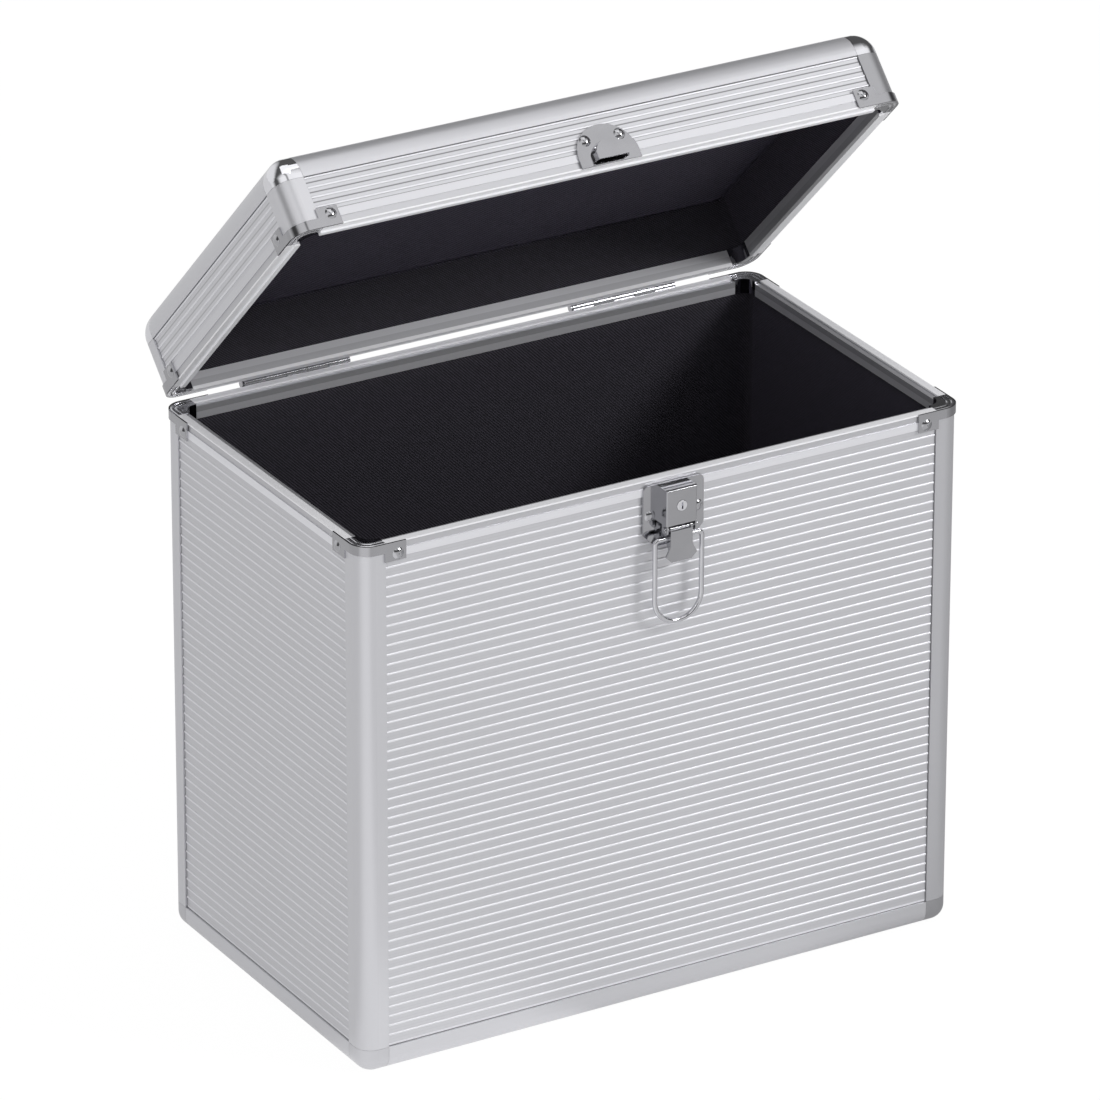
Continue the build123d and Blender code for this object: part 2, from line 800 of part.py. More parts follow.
# Bolt plate behind the plug, with the cross slot that the crank pin rides in
bolt_out = bolt_back + bolt_t / 2
with BuildPart() as lock_bolt:
    with Locations(latch_point(0, bolt_out, (bolt_top_drop + bolt_bottom_drop) / 2)):
        Box(bolt_width, bolt_t, bolt_bottom_drop - bolt_top_drop)
    with Locations(latch_point(0, bolt_out, key_plug_drop - crank_shift)):
        Box(bolt_slot_length, 2 * bolt_t, 2 * (key_crank_r + bolt_slot_gap), mode=Mode.SUBTRACT)
save(lock_bolt.part, "lock_bolt")

# Lever: front tab with two flanges on the pin, and a heel that the bolt blocks
heel_out = bolt_back + bolt_t + lever_heel_gap
heel_top = lever_pivot_drop - lever_heel_up
plate_in = lock_box_out - lever_plate_t
neck = lever_neck_width / 2
tab = lever_tab_width / 2
tab_foot = -lever_bottom_drop + lever_lip_r
with BuildPart() as latch_lever:
    with BuildSketch(face_plane("front", body_height, plate_in)):
        with BuildLine():
            Polyline(
                (latch_x - neck, -lever_neck_drop),
                (latch_x - neck, -lever_top_drop),
                (latch_x + neck, -lever_top_drop),
                (latch_x + neck, -lever_neck_drop),
            )
            Spline(
                (latch_x + neck, -lever_neck_drop),
                (latch_x + tab, tab_foot),
                tangents=((0, -1), (0.3, -1)),
            )
            Polyline(
                (latch_x + tab, tab_foot),
                (latch_x + tab - lever_lip_r, -lever_bottom_drop),
                (latch_x - tab + lever_lip_r, -lever_bottom_drop),
                (latch_x - tab, tab_foot),
            )
            Spline(
                (latch_x - tab, tab_foot),
                (latch_x - neck, -lever_neck_drop),
                tangents=((0.3, 1), (0, 1)),
            )
        make_face()
    extrude(amount=lever_plate_t)
    for s in (-1, 1):
        with BuildSketch(across_plane(s * (neck - lever_flange_t / 2))):
            with BuildLine():
                Polyline(
                    (plate_in + lever_plate_t / 2, -lever_top_drop),
                    (lever_pivot_out, -lever_pivot_drop + lever_boss_r),
                    (heel_out, -heel_top),
                    (heel_out, -heel_top - lever_heel_length),
                    (lever_flange_in, -bail_pivot_drop),
                    (lever_flange_in, -bail_pivot_drop - lever_boss_r),
                    (plate_in + lever_plate_t / 2, -lever_bottom_drop + lever_lip_r),
                    close=True,
                )
            make_face()
            with Locations((lever_pivot_out, -lever_pivot_drop)):
                Circle(lever_boss_r)
        extrude(amount=lever_flange_t / 2, both=True)
    with Locations(latch_point(0, heel_out + lever_heel_t / 2, heel_top + lever_heel_length / 2)):
        Box(2 * neck - lever_flange_t, lever_heel_t, lever_heel_length)
    with Locations(latch_point(0, lever_pivot_out, lever_pivot_drop)):
        Cylinder(
            lever_pin_r + hinge_running_gap, 2 * lock_box_width,
            rotation=(0, 90, 0), mode=Mode.SUBTRACT,
        )
    with Locations(latch_point(0, bail_pivot_out, bail_pivot_drop)):
        Cylinder(
            bail_wire_r + bail_hole_gap, 2 * lock_box_width,
            rotation=(0, 90, 0), mode=Mode.SUBTRACT,
        )
save(latch_lever.part, "latch_lever")

# Bail: round wire, its ends turned in through the lever's flanges
lug_top_z = lid_base + lug_top
bail_pivot_z = body_height - bail_pivot_drop
bail_length = lug_top_z - bail_pivot_z + bail_wire_r + bail_hook_gap
bail_half = bail_width / 2
bail_end = lever_neck_width / 2 - lever_flange_t - fit_gap
with BuildPart() as latch_bail:
    bail_plane = Plane(
        origin=latch_point(0, bail_pivot_out, bail_pivot_drop), x_dir=(1, 0, 0), z_dir=(0, -1, 0)
    )
    with BuildLine(bail_plane) as wire:
        FilletPolyline(
            (-bail_end, 0),
            (-bail_half, 0),
            (-bail_half, -bail_length),
            (bail_half, -bail_length),
            (bail_half, 0),
            (bail_end, 0),
            radius=[bail_end_bend, bail_corner_r, bail_corner_r, bail_end_bend],
        )
    with BuildSketch(Plane(origin=wire.line @ 0, z_dir=wire.line % 0)):
        Circle(bail_wire_r)
    sweep()
save(latch_bail.part, "latch_bail")



def lug_outline(width, top, inset):
    """D-shaped outline of the lug: straight foot and sides under an arched top."""
    half = width / 2 - inset
    foot = lug_bottom - inset
    with BuildSketch() as outline:
        with BuildLine():
            Polyline(
                (latch_x - half, lug_shoulder), (latch_x - half, foot),
                (latch_x + half, foot), (latch_x + half, lug_shoulder),
            )
            ThreePointArc(
                (latch_x + half, lug_shoulder), (latch_x, top - inset), (latch_x - half, lug_shoulder)
            )
        make_face()
    return outline.sketch


# Keeper on the lid: plate stepped over the rim, with a hollow D-shaped lug
half_keeper = keeper_width / 2
keeper_shoulder = keeper_height - half_keeper
with BuildPart() as keeper:
    with BuildSketch(face_plane("front", lid_base)):
        with BuildLine():
            Polyline(
                (latch_x - half_keeper, keeper_shoulder),
                (latch_x - half_keeper, keeper_foot),
                (latch_x + half_keeper, keeper_foot),
                (latch_x + half_keeper, keeper_shoulder),
            )
            ThreePointArc(
                (latch_x + half_keeper, keeper_shoulder),
                (latch_x, keeper_height),
                (latch_x - half_keeper, keeper_shoulder),
            )
        make_face()
    extrude(amount=keeper_t)
    extrude(keeper.faces().sort_by(Axis.Y)[-1], amount=seat_depth)
    with Locations((latch_x, -half_depth + seat_depth, lid_base + keeper_joggle)):
        Box(
            2 * keeper_width, 2 * seat_depth, 2 * keeper_height,
            align=(Align.CENTER, Align.CENTER, Align.MAX), mode=Mode.SUBTRACT,
        )
    with Locations((latch_x, -half_depth + seat_depth - keeper_t, lid_base + keeper_joggle + keeper_t)):
        Box(
            2 * keeper_width, keeper_t, keeper_height,
            align=(Align.CENTER, Align.MAX, Align.MIN), mode=Mode.SUBTRACT,
        )
    with BuildSketch(face_plane("front", lid_base, lug_root)):
        add(lug_outline(lug_width, lug_top, 0))
    with BuildSketch(face_plane("front", lid_base, lug_out)):
        add(lug_outline(lug_face_width, lug_face_top, 0))
    loft()
    with BuildSketch(face_plane("front", lid_base, keeper_t)):
        add(lug_outline(lug_width, lug_top, lug_wall))
    with BuildSketch(face_plane("front", lid_base, lug_out - lug_wall)):
        add(lug_outline(lug_face_width, lug_face_top, lug_wall))
    loft(mode=Mode.SUBTRACT)
    drill(keeper_sites)
save(keeper.part, "keeper", in_lid=True)
save(rivets(keeper_sites, keeper_t - seat_depth), "keeper_rivets", in_lid=True)

# Boards and sheets of the lid's walls
lid_panel_low = lid_base + rim_web + fit_gap
lid_panel_high = lid_top - seat(crown_radius)
for name, walls in (("long", LONG), ("short", SHORT)):
    pair = [
        wall_board(side, lid_panel_low, lid_panel_high, True, crown_corner_cut, lid_sites[side])
        for side in walls
    ]
    save(group(pair), f"lid_wall_boards_{name}", in_lid=True)
lid_rib_count = int((lid_height - lid_first_rib - crown_flange) / rib_pitch) + 1
lid_ribs = [lid_base + lid_first_rib + k * rib_pitch for k in range(lid_rib_count)]
for side in SIDES:
    sheet = wall_sheet(
        side, lid_panel_low, lid_top - crown_radius - edge_gap, lid_ribs, lid_sites[side]
    )
    save(sheet, f"lid_{side}_sheet", in_lid=True)

# Top of the lid: board, and a sheet whose ribs run from side to side
bracket_centres = [(s * handle_span / 2, 0) for s in (-1, 1)]
bracket_sites = [
    Location((x, t * bracket_rivet_span / 2, lid_top)) for x, _ in bracket_centres for t in (-1, 1)
]
with BuildPart() as lid_top_board:
    add(flat_panel(lid_top - wall_in, lid_top - board_in, crown_corner_cut, seat(crown_radius)))
    drill(bracket_sites)
save(lid_top_board.part, "lid_top_board", in_lid=True)
top_rib_field = half_depth - crown_flange - rib_pitch / 2
top_rib_count = int(top_rib_field / rib_pitch)
top_ribs = [k * rib_pitch for k in range(-top_rib_count, top_rib_count + 1)]
top_plane = Plane(origin=(0, 0, lid_top), x_dir=(0, 0, -1), z_dir=(1, 0, 0))
top_edge = half_depth - crown_radius - edge_gap
lid_top_sheet = ribbed_sheet(
    top_plane, -top_edge, top_edge,
    half_width - crown_radius - edge_gap, half_width - crown_flange - rib_end_gap,
    top_ribs, bracket_sites,
)
save(lid_top_sheet, "lid_top_sheet", in_lid=True)

# Posts, crown profiles and crown caps of the lid
lid_posts = [
    corner_post(corner, lid_base + fitting_t + fit_gap, lid_top - crown_flange - fit_gap)
    for corner in CORNERS
]
save(group(lid_posts), "lid_corner_posts", in_lid=True)
for name, walls in (("long", LONG), ("short", SHORT)):
    pair = [
        edge_profile(side, lid_top, crown_radius, crown_flange, True, crown_flange + fit_gap)
        for side in walls
    ]
    save(group(pair), f"crown_profiles_{name}", in_lid=True)
crown_caps = [
    corner_cap(corner, lid_top, crown_radius, crown_flange, crown_flange, True)
    for corner in CORNERS
]
save(group(crown_caps), "crown_corner_caps", in_lid=True)

# Rim of the lid: its tongue drops into the step of the body's rim
tongue_start = rim_ledge + tongue_gap
lid_rim_section = [
    (0, rim_height),
    (0, rim_groove_end),
    (rim_groove_depth, rim_groove_end),
    (rim_groove_depth, rim_lip),
    (0, rim_lip),
    (0, 0),
    (tongue_start, 0),
    (tongue_start, -tongue_height),
    (rim_in, -tongue_height),
    (rim_in, rim_inner_height),
    (lining_in, rim_inner_height),
    (lining_in, rim_web),
    (sheet_in, rim_web),
    (sheet_in, rim_height),
]
for name, walls in (("long", LONG), ("short", SHORT)):
    pair = [rim_profile(side, lid_base, lid_rim_section, lid_sites[side]) for side in walls]
    save(group(pair), f"lid_rim_profiles_{name}", in_lid=True)
lid_fittings = [
    rim_fitting(corner, lid_base, False, corner_rivet_sites(corner, lid_corner_sites))
    for corner in CORNERS
]
save(group(lid_fittings), "lid_rim_corner_fittings", in_lid=True)
all_lid_corner = [site for side in SIDES for site in lid_corner_sites[side]]
save(rivets(all_lid_corner, fitting_t), "lid_rim_corner_rivets", in_lid=True)

# Lining of the lid
lid_lining_top = lid_top - wall_in
with BuildPart() as lid_lining:
    with BuildSketch(Plane.XY.offset(lid_panel_low)):
        RectangleRounded(case_width - 2 * wall_in, case_depth - 2 * wall_in, lining_corner)
    extrude(amount=lid_lining_top - lid_panel_low)
    with BuildSketch(Plane.XY.offset(lid_panel_low)):
        RectangleRounded(
            case_width - 2 * lining_in, case_depth - 2 * lining_in, lining_corner - lining_t
        )
    extrude(amount=lid_lining_top - lining_t - lid_panel_low, mode=Mode.SUBTRACT)
save(lid_lining.part, "lid_lining", in_lid=True)

# Carrying handle, lying towards the back
handle_z = lid_top + handle_pivot_up
ear_offset = (handle_arm_w + handle_ear_t) / 2 + handle_ear_gap
bracket_top = lid_top - seat_depth + bracket_t
brackets = []
for x, y in bracket_centres:
    with BuildPart() as bracket:
        with BuildSketch(Plane.XY.offset(lid_top - seat_depth)):
            with Locations((x, y)):
                RectangleRounded(bracket_width, bracket_length, bracket_corner)
        extrude(amount=bracket_t)
        for s in (-1, 1):
            with BuildSketch(Plane(origin=(x + s * ear_offset, y, 0), x_dir=(0, 1, 0), z_dir=(1, 0, 0))):
                with Locations((0, handle_z)):
                    Circle(handle_ear_r)
                with Locations((0, bracket_top - bracket_t / 2)):
                    Rectangle(
                        2 * handle_ear_r, handle_z - bracket_top + bracket_t / 2,
                        align=(Align.CENTER, Align.MIN),
                    )
            extrude(amount=handle_ear_t / 2, both=True)
        with Locations((x, y, handle_z)):
            Cylinder(
                handle_pin_r + rivet_hole_gap, 2 * bracket_width,
                rotation=(0, 90, 0), mode=Mode.SUBTRACT,
            )
        drill(bracket_sites)
    brackets.append(bracket.part)
save(group(brackets), "handle_brackets", in_lid=True)
save(rivets(bracket_sites, bracket_t - seat_depth), "handle_bracket_rivets", in_lid=True)

pin_reach = ear_offset + handle_ear_t / 2
with BuildPart() as handle_pins:
    with Locations(*[(x, y, handle_z) for x, y in bracket_centres]):
        Cylinder(handle_pin_r, 2 * pin_reach, rotation=(0, 90, 0))
    heads = [
        (x + s * (pin_reach + handle_pin_head_h / 2), y, handle_z)
        for x, y in bracket_centres
        for s in (-1, 1)
    ]
    with Locations(*heads):
        Cylinder(handle_pin_head_r, handle_pin_head_h, rotation=(0, 90, 0))
save(handle_pins.part, "handle_pins", in_lid=True)

with BuildPart() as carrying_handle:
    half_span = handle_span / 2
    with BuildLine(Plane.XY.offset(handle_z)) as route:
        FilletPolyline(
            (-half_span, 0), (-half_span, handle_reach), (half_span, handle_reach), (half_span, 0),
            radius=handle_bend_r,
        )
    with BuildSketch(Plane(origin=route.line @ 0, z_dir=route.line % 0, x_dir=(1, 0, 0))):
        RectangleRounded(handle_arm_w, handle_arm_t, handle_arm_edge)
    sweep()
    with Locations(*[(x, y, handle_z) for x, y in bracket_centres]):
        Cylinder(handle_arm_t / 2, handle_arm_w, rotation=(0, 90, 0))
    with BuildSketch(Plane(origin=(0, handle_reach, handle_z), x_dir=(0, 1, 0), z_dir=(1, 0, 0))):
        RectangleRounded(handle_grip_w, handle_grip_t, handle_grip_edge)
    extrude(amount=handle_grip_length / 2, both=True)
    with Locations(*[(x, y, handle_z) for x, y in bracket_centres]):
        Cylinder(
            handle_pin_r + handle_pin_gap, 2 * handle_arm_w,
            rotation=(0, 90, 0), mode=Mode.SUBTRACT,
        )
save(carrying_handle.part, "carrying_handle", in_lid=True)
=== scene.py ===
"""Finish of the aluminium record case: materials, cloth linings, light and camera.

Metres, in the frame of the case: +X right as seen from the latch, +Y to the hinged back, +Z up.
"""

import json
import math

import bpy
import numpy as np
from mathutils import Matrix, Vector


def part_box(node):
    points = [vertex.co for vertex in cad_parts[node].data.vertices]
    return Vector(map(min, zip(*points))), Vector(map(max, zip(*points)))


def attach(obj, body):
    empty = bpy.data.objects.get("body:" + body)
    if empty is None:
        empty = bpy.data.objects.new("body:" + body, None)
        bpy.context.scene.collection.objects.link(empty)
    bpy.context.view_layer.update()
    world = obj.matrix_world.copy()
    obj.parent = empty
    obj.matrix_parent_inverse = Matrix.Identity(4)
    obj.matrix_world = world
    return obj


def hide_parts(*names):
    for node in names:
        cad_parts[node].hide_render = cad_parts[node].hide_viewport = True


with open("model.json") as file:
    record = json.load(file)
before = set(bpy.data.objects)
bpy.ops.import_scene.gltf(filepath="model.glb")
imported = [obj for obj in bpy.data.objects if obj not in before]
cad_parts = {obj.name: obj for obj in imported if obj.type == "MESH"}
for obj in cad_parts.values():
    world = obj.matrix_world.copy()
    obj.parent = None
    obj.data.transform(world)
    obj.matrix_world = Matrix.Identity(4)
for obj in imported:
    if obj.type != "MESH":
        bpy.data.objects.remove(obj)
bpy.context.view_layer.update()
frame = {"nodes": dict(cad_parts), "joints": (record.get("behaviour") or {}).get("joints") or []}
nodes = frame["nodes"]

MM = 0.001

# Where things are, worked out from the frame
joint = {j["name"]: j for j in frame["joints"]}
hinge_at = Vector(joint["lid_hinge"]["pos_m"])
open_angle = math.radians(-joint["lid_hinge"]["range_deg"][0])
rim_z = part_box("rim_profiles_long")[1].z
lid_base = hinge_at.z + (hinge_at.z - rim_z)
post_low, post_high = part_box("front_left_post")
base_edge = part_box("base_profiles_long")[1].z
rib_pitch = 5.16 * MM
first_rib = 13.5 * MM
lid_first_rib = 11.3 * MM
lid_height = 42.0 * MM
crown_flange = 14.5 * MM
post_radius = 9.0 * MM
lip_depth = 0.85
groove_end = 4.3


def opened(points):
    """Points of the closed lid, turned about the hinge to where the lid rests."""
    turned = np.array(points, float)
    y, z = turned[:, 1] - hinge_at.y, turned[:, 2] - hinge_at.z
    c, s = math.cos(open_angle), math.sin(open_angle)
    turned[:, 1] = hinge_at.y + y * c + z * s
    turned[:, 2] = hinge_at.z - y * s + z * c
    return turned


def closed(points):
    """Points of the open lid, turned back to where they are when it is shut."""
    turned = np.array(points, float)
    y, z = turned[:, 1] - hinge_at.y, turned[:, 2] - hinge_at.z
    c, s = math.cos(open_angle), math.sin(open_angle)
    turned[:, 1] = hinge_at.y + y * c - z * s
    turned[:, 2] = hinge_at.z + y * s + z * c
    return turned


# Camera, at the angle of the photograph
FRAME_PX = 1100.0
SENSOR_MM = 36.0
focal_px = 9153.0
camera_yaw = math.radians(30.463)
camera_pitch = math.radians(24.755)
camera_roll = math.radians(0.116)
camera_far = 4.5804
aim_height = 0.1730
aim_right = -0.006025
aim_up = 0.030711


def place_camera():
    """A long lens from the front left and above, rolled a little."""
    forward = Vector((
        math.sin(camera_yaw) * math.cos(camera_pitch),
        math.cos(camera_yaw) * math.cos(camera_pitch),
        -math.sin(camera_pitch),
    ))
    level = Vector((math.cos(camera_yaw), -math.sin(camera_yaw), 0.0))
    upright = level.cross(forward)
    c, s = math.cos(camera_roll), math.sin(camera_roll)
    right = level * c + upright * s
    up = upright * c - level * s
    aim = Vector((0, 0, aim_height)) + right * aim_right + up * aim_up
    camera = bpy.data.objects.new("camera", bpy.data.cameras.new("camera"))
    bpy.context.scene.collection.objects.link(camera)
    camera.data.sensor_width = SENSOR_MM
    camera.data.lens = focal_px / FRAME_PX * SENSOR_MM
    camera.data.clip_end = 50.0
    turn = Matrix((right, up, -forward)).transposed().to_4x4()
    camera.matrix_world = Matrix.Translation(aim - forward * camera_far) @ turn
    bpy.context.scene.camera = camera


# Shader expressions
class Socket:
    """A value in a material's node tree, on which arithmetic adds Math nodes."""

    def __init__(self, sheet, link):
        self.sheet = sheet
        self.link = link

    def _math(self, operation, *values):
        return self.sheet.node("ShaderNodeMath", {"operation": operation}, *values)

    def __add__(self, other):
        return self._math("ADD", self, other)

    __radd__ = __add__

    def __sub__(self, other):
        return self._math("SUBTRACT", self, other)

    def __rsub__(self, other):
        return self._math("SUBTRACT", other, self)

    def __mul__(self, other):
        return self._math("MULTIPLY", self, other)

    __rmul__ = __mul__

    def __truediv__(self, other):
        return self._math("DIVIDE", self, other)

    def __pow__(self, other):
        return self._math("POWER", self, other)

    def sin(self):
        return self._math("SINE", self)

    def abs(self):
        return self._math("ABSOLUTE", self)

    def fraction(self):
        return self._math("FRACT", self)

    def below(self, limit):
        return self._math("LESS_THAN", self, limit)

    def at_most(self, limit):
        return self._math("MINIMUM", self, limit)

    def at_least(self, limit):
        return self._math("MAXIMUM", self, limit)

    def part(self, name):
        return Socket(self.sheet, self.link.node.outputs[name])


class Sheet:
    """A material's node tree, with its one shader."""

    def __init__(self, name, **plain):
        self.material = bpy.data.materials.new(name)
        self.material.use_nodes = True
        self.tree = self.material.node_tree
        self.shader = self.tree.nodes["Principled BSDF"]
        for key, value in plain.items():
            self.shader.inputs[key.replace("_", " ")].default_value = value

    def node(self, kind, settings, *values, **named):
        """Adds a node with these settings, and gives its sockets values or links."""
        made = self.tree.nodes.new(kind)
        for key, value in settings.items():
            setattr(made, key, value)
        for key, value in [*enumerate(values), *named.items()]:
            target = made.inputs[key if isinstance(key, int) else key.replace("_", " ")]
            if isinstance(value, Socket):
                self.tree.links.new(value.link, target)
            else:
                target.default_value = value
        return Socket(self, made.outputs[0])

    def place(self):
        """Object coordinates, which are the frame's own metres."""
        at = self.node("ShaderNodeTexCoord", {})
        return at.part("Object")

    def shut(self, in_lid):
        """Coordinates of the case with its lid shut, as x, y and z."""
        at = self.place()
        if in_lid:
            at = self.node(
                "ShaderNodeVectorRotate", {"rotation_type": "X_AXIS"}, at,
                tuple(hinge_at), Angle=open_angle,
            )
        parts = self.node("ShaderNodeSeparateXYZ", {}, at)
        return [parts.part(axis) for axis in "XYZ"]

    def noise(self, at, scale, detail=2.0, stretch=None):
        """Soft noise from 0 to 1, drawn out along an axis by a mapping."""
        if stretch:
            at = self.node("ShaderNodeMapping", {}, at, Scale=stretch)
        settings = {"noise_dimensions": "3D"}
        return self.node("ShaderNodeTexNoise", settings, at, Scale=scale, Detail=detail)

    def mix(self, share, low, high):
        """Colour between two, by a share from 0 to 1."""
        made = self.tree.nodes.new("ShaderNodeMix")
        made.data_type = "RGBA"
        for slot, value in ((0, share), (6, low), (7, high)):
            if isinstance(value, Socket):
                self.tree.links.new(value.link, made.inputs[slot])
            else:
                made.inputs[slot].default_value = (*value, 1.0) if slot else value
        return Socket(self, made.outputs[2])

    def ease(self, value, low, high, to_low=0.0, to_high=1.0):
        """A value eased from one range to another."""
        settings = {"interpolation_type": "SMOOTHSTEP"}
        return self.node("ShaderNodeMapRange", settings, value, low, high, to_low, to_high)

    def feed(self, name, value):
        self.tree.links.new(value.link, self.shader.inputs[name])

    def bump(self, height, depth, strength=1.0, after=None):
        """Raises the surface by a height in metres; another bump may come before it."""
        named = {"Height": height}
        if after:
            named["Normal"] = after
        made = self.node("ShaderNodeBump", {}, strength, depth, **named)
        self.feed("Normal", made)
        return made


def grey(level, cool=0.03):
    """Plain grey, a little blue where cool is above 0."""
    return (level * (1 - cool * 0.5), level * (1 - cool * 0.5), level * (1 + cool))


place_camera()


# Metal finishes
def brushed(sheet, parts, axis, amount=0.5):
    """Fine hairlines along one axis, from noise drawn out along it, from 0 to 1."""
    stretch = [520.0, 520.0, 520.0]
    stretch["xyz".index(axis)] = 6.0
    at = sheet.node("ShaderNodeCombineXYZ", {}, *parts)
    lines = sheet.noise(at, 1.0, 3.0, tuple(stretch))
    return (lines - 0.5) * amount


def extruded(name, axis, in_lid=False, level=0.70, metallic=0.62):
    """Satin anodised profile with hairlines along its length."""
    sheet = Sheet(name, Metallic=metallic)
    parts = sheet.shut(in_lid)
    lines = brushed(sheet, parts, axis)
    clouds = sheet.noise(sheet.place(), 14.0, 2.0) - 0.5
    shade = sheet.ease(lines * 0.35 + clouds * 0.25, -0.35, 0.35)
    tone = sheet.mix(shade, grey(level * 0.97), grey(level * 1.03))
    # Painted shade: posts on the right get a darker tone, strongly on the lid and a little on the
    # body.
    if axis == "z":
        right = sheet.ease(parts[0], 0.10, 0.16)
        tone = sheet.mix(right * (0.80 if in_lid else 0.25), tone, grey(level * 0.45))
    sheet.feed("Base Color", tone)
    sheet.feed("Roughness", lines * 0.10 + clouds * 0.08 + 0.34)
    sheet.bump(lines, 0.00001, 0.25)
    return sheet.material


def rim(name, axis, in_lid=False):
    """Rim profile: a painted highlight on the rolled lip, painted shade in the groove, and a pale
    band below it, given painted shade on the lid to make it darker than on the body.
    """
    sheet = Sheet(name)
    parts = sheet.shut(in_lid)
    depth = (parts[2] - lid_base) if in_lid else (rim_z - parts[2])
    depth = depth * (1.0 / MM)
    # Painted highlight: the lip is pale and barely metallic, so it shines like a lit rounded bead.
    # Painted shade: the groove below it is darker.
    lip_highlight = sheet.ease(depth, lip_depth + 0.10, lip_depth - 0.10)
    groove_shade = sheet.ease(depth, groove_end + 0.15, groove_end - 0.15) * (1.0 - lip_highlight)
    lines = brushed(sheet, parts, axis)
    low = sheet.mix(groove_shade, grey(0.74 if in_lid else 0.94), grey(0.60))
    toned = sheet.mix(sheet.ease(lines, -0.3, 0.3) * 0.25, low, grey(0.66))
    sheet.feed("Base Color", sheet.mix(lip_highlight, toned, grey(0.96, 0.02)))
    sheet.feed("Metallic", 0.60 - lip_highlight * 0.55)
    sheet.feed("Roughness", lines * 0.10 + 0.36)
    sheet.bump(lines, 0.00001, 0.25)
    return sheet.material


def ribbed(name, across, start, edges, in_lid=False, level=0.69, valley_shade=0.05):
    """Aluminium sheet with pressed ribs, a painted highlight on each rib's crest, painted shade in
    the valleys between ribs, and a painted dark line of shade where it slips under the profiles.

    The distance from the nearest rib is the fraction of (height - start) / pitch, about 0.
    edges holds pairs of an axis and the place on it, in metres, where the profiles begin. A
    negative place on z says that the sheet ends below it.
    """
    sheet = Sheet(name)
    parts = sheet.shut(in_lid)
    height = parts["xyz".index(across)]
    turns = (height - start) / rib_pitch + 0.5
    offset = (turns.fraction() - 0.5) * (rib_pitch / MM)
    # Painted highlight: each rib's crest is paler and less metallic. Painted shade: the valleys
    # between ribs are darkened.
    crest_highlight = sheet.ease(offset.abs(), 0.66, 0.28)
    trough = sheet.ease(offset.abs(), rib_pitch / MM / 2 - 0.55, rib_pitch / MM / 2 - 0.10)
    clouds = sheet.noise(sheet.place(), 9.0, 2.0) - 0.5
    lines = brushed(sheet, parts, "y" if across == "x" else "x", 0.5)
    shade = sheet.ease(clouds * 0.5 + lines * 0.4, -0.35, 0.35)
    flat = sheet.mix(shade, grey(level * 0.97), grey(level * 1.03))
    trough_shade = sheet.mix(trough * valley_shade, flat, grey(level * 0.30))
    tone = sheet.mix(crest_highlight * 0.8, trough_shade, grey(0.94))
    # Painted shade: a dark line along the edges where the sheet slips under the posts and profiles.
    crevice_shade = 0.0
    for axis, place in edges:
        reach = parts["xyz".index(axis)]
        if axis != "z":
            reach = reach.abs()
        elif place < 0:
            reach = 0.0 - reach
        near = sheet.ease(reach, place - 0.55 * MM, place - 0.15 * MM)
        crevice_shade = near if crevice_shade == 0.0 else crevice_shade.at_least(near)
    sheet.feed("Base Color", sheet.mix(crevice_shade * 0.85, tone, grey(0.10)))
    sheet.feed("Metallic", 0.58 - crest_highlight * 0.38)
    sheet.feed("Roughness", lines * 0.08 + clouds * 0.06 + 0.40)
    sheet.bump(lines, 0.00001, 0.3)
    return sheet.material


def plated(name, level, rough, cool=0.03):
    """Plated steel: smooth, with faint clouds and a few fine scratches."""
    sheet = Sheet(name, Metallic=1.0)
    at = sheet.place()
    clouds = sheet.noise(at, 60.0, 3.0) - 0.5
    scratches = sheet.ease(sheet.noise(at, 1.0, 2.0, (90.0, 1500.0, 700.0)), 0.66, 0.74)
    shade = sheet.ease(clouds + scratches * 0.3, -0.35, 0.5)
    sheet.feed("Base Color", sheet.mix(shade, grey(level * 0.92, cool), grey(level * 1.06, cool)))
    sheet.feed("Roughness", clouds * 0.08 + scratches * 0.12 + rough)
    sheet.bump(clouds * 0.6 + scratches * 0.2, 0.00003, 0.25)
    return sheet.material


def corner_fitting(name, in_lid=False):
    """Nickel corner with two rolled ridges that follow its curve on the rim face, raised by a bump
    and painted bright as a highlight.

    A ridge stands where the distance from the corner's centre is near its own radius.
    """
    sheet = Sheet(name, Metallic=1.0)
    x, y, z = sheet.shut(in_lid)
    depth = (z - lid_base) if in_lid else (rim_z - z)
    face = sheet.ease(depth, 1.0 * MM, 0.3 * MM)
    from_x = (x.abs() - (-post_low.x - post_radius)).at_least(0.0)
    from_y = (y.abs() - (-post_low.y - post_radius)).at_least(0.0)
    out = (from_x * from_x + from_y * from_y) ** 0.5
    ridge_and_highlight = sheet.ease((out - 8.0 * MM).abs(), 1.1 * MM, 0.0)
    ridge_and_highlight = ridge_and_highlight.at_least(sheet.ease((out - 5.6 * MM).abs(), 1.1 * MM, 0.0)) * face
    clouds = sheet.noise(sheet.place(), 60.0, 3.0) - 0.5
    shade = sheet.ease(clouds, -0.35, 0.5)
    tone = sheet.mix(shade, grey(0.42), grey(0.48))
    # Painted highlight: the ridges are given a much brighter base than the rest of the nickel.
    sheet.feed("Base Color", sheet.mix(ridge_and_highlight, tone, grey(0.85)))
    sheet.feed("Roughness", clouds * 0.08 + face * 0.08 + 0.10)
    sheet.bump(ridge_and_highlight, 0.0006, 0.9)
    return sheet.material


